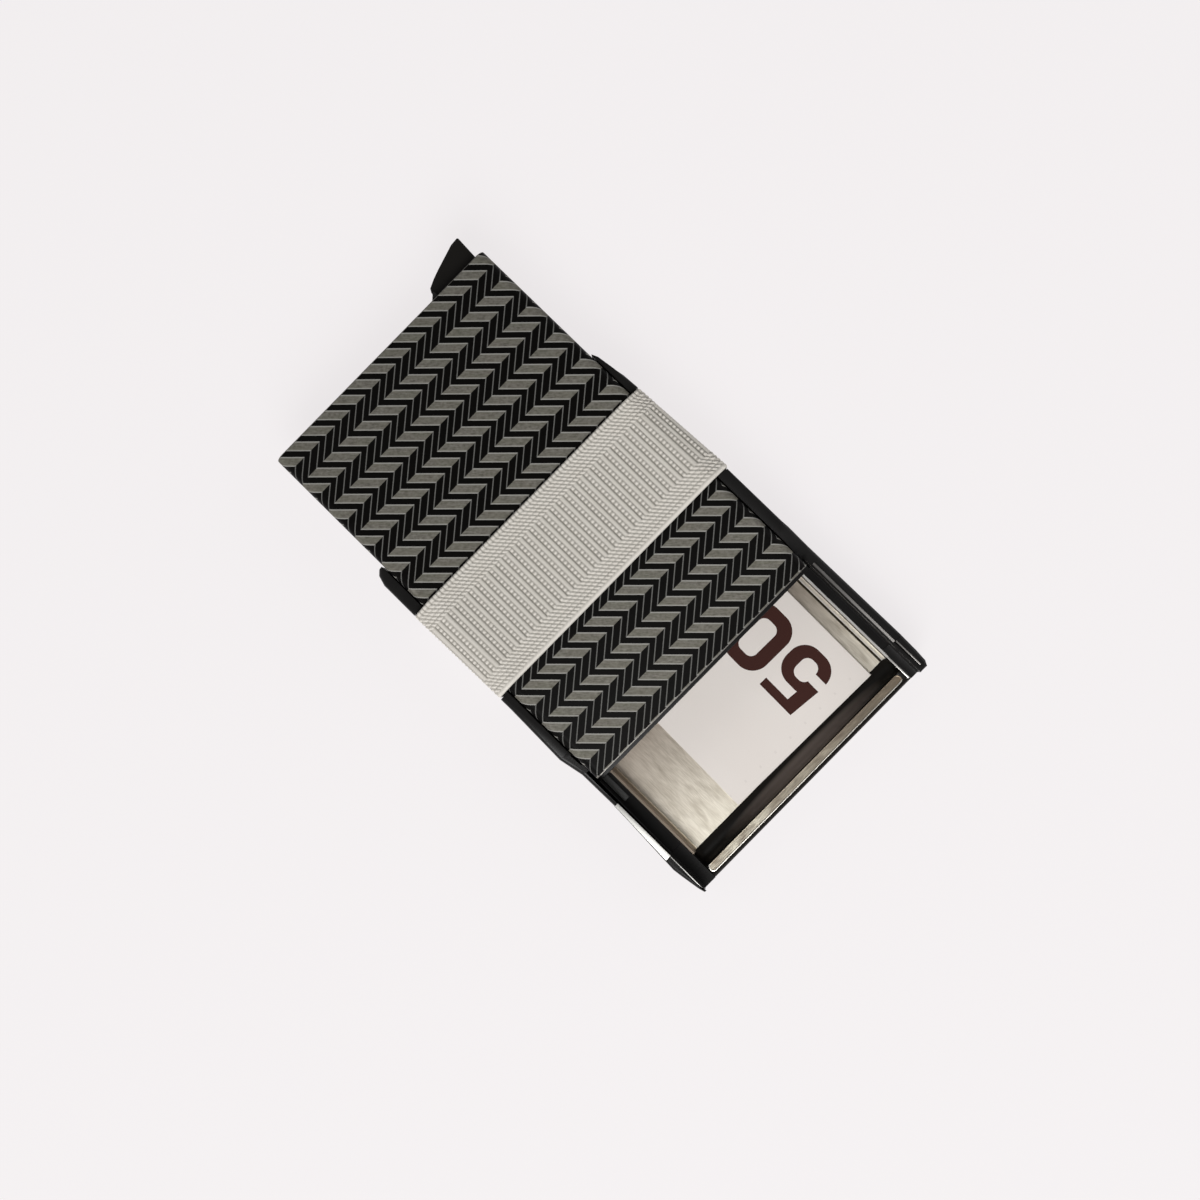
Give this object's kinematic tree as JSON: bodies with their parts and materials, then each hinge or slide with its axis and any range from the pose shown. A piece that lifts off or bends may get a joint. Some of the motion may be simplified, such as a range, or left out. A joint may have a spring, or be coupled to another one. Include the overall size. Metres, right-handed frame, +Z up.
{
  "type": "minimalist wallet",
  "caption": "Slide wallet: aluminium card case with a herringbone finish and ejector lever, running on a black note tray with steel floor under a grey elastic band.",
  "frame": {"origin": "middle of the back plate's outer face, the face the wallet rests on", "axes": "+X across the wallet, +Y along it towards the ejector lever, +Z up out of the back plate; drawn with the case slid fully open"},
  "size_m": [0.0709, 0.1381, 0.017],
  "materials": {
    "case_finish": "black anodised with a laser-etched herringbone",
    "black_moulding": "semi-gloss moulded plastic",
    "matte_moulding": "fine spark-eroded matt",
    "back_metal": "bead-blasted black anodised",
    "brushed_sheet": "brushed lengthwise",
    "polished_trim": "polished",
    "dark_trim": "dark satin",
    "spring_steel": "rolled",
    "screw_steel": "satin",
    "elastic_weave": "ribbed woven elastic, grey",
    "note_paper": null,
    "felt": "short felt",
    "adhesive": "double-sided adhesive sheet"
  },
  "bodies": {
    "tray": {"back_plate": "back_metal", "steel_tray": "brushed_sheet", "left_rail": "black_moulding", "right_rail": "black_moulding", "left_end_cap": "black_moulding", "right_end_cap": "black_moulding", "front_bar": "black_moulding", "end_bar": "black_moulding", "end_strip": "brushed_sheet", "left_trim": "polished_trim", "right_trim": "dark_trim", "left_cap_trim": "polished_trim", "right_cap_trim": "dark_trim", "back_screws": "screw_steel", "elastic_band": "elastic_weave", "folded_note": "note_paper", "latch_arm": "black_moulding"},
    "case": {"card_case": "case_finish", "base_cap": "matte_moulding", "mouth_collar": "matte_moulding", "left_guide": "matte_moulding", "right_guide": "matte_moulding", "left_felt": "felt", "right_felt": "felt", "pressure_spring": "spring_steel", "sledge": "black_moulding", "bonding_sheet": "adhesive", "lever_pin": "screw_steel"},
    "lever": {"ejector_lever": "matte_moulding"}
  },
  "joints": [
    {"name": "case_slide", "type": "slide", "parent": "tray", "child": "case", "axis": [0, 1, 0], "range_m": [-0.032, 0]},
    {"name": "lever_turn", "type": "hinge", "parent": "case", "child": "lever", "pos_m": [0.0245, 0.079, 0.012], "axis": [0, 0, 1], "range_deg": [0, 28]}
  ]
}
